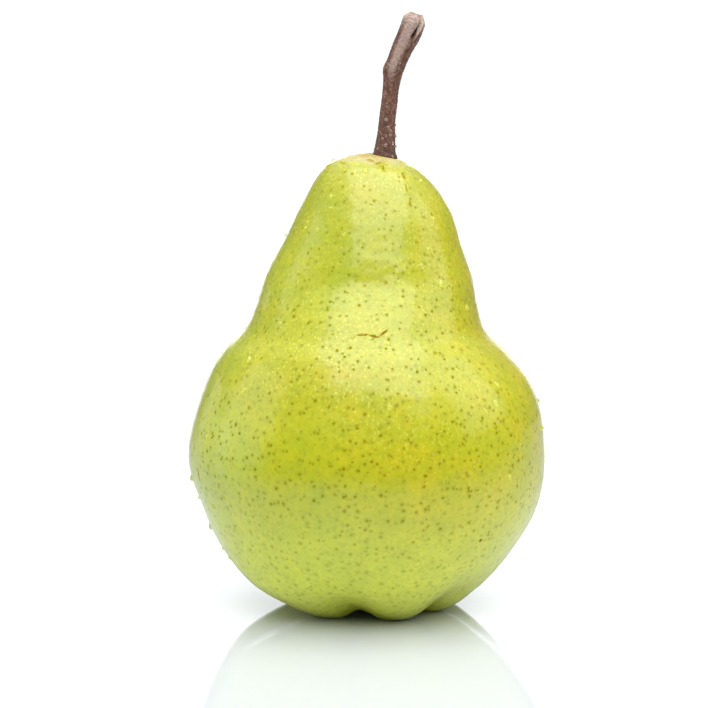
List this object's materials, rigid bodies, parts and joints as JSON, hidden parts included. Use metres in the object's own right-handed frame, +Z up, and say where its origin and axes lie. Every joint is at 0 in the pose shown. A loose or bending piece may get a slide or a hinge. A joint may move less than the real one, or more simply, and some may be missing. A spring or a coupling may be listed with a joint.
{
  "type": "pear",
  "caption": "Fresh yellow-green pear with a woody stalk and a dried calyx, standing upright on the lobes of its base.",
  "frame": {"origin": "on the floor under the middle of the fruit's widest part", "axes": "+Z up through the fruit towards the stalk, -Y towards the front, +X the way the stalk leans"},
  "size_m": [0.076, 0.076, 0.1267],
  "materials": {
    "pear_skin": "satin",
    "stalk_wood": "satin",
    "dried_sepal": "matte",
    "dried_flower": "matte"
  },
  "bodies": {
    "root": {"fruit": "pear_skin", "stem": "stalk_wood", "sepal_1": "dried_sepal", "sepal_2": "dried_sepal", "sepal_3": "dried_sepal", "sepal_4": "dried_sepal", "sepal_5": "dried_sepal", "calyx_eye": "dried_flower"}
  },
  "joints": []
}
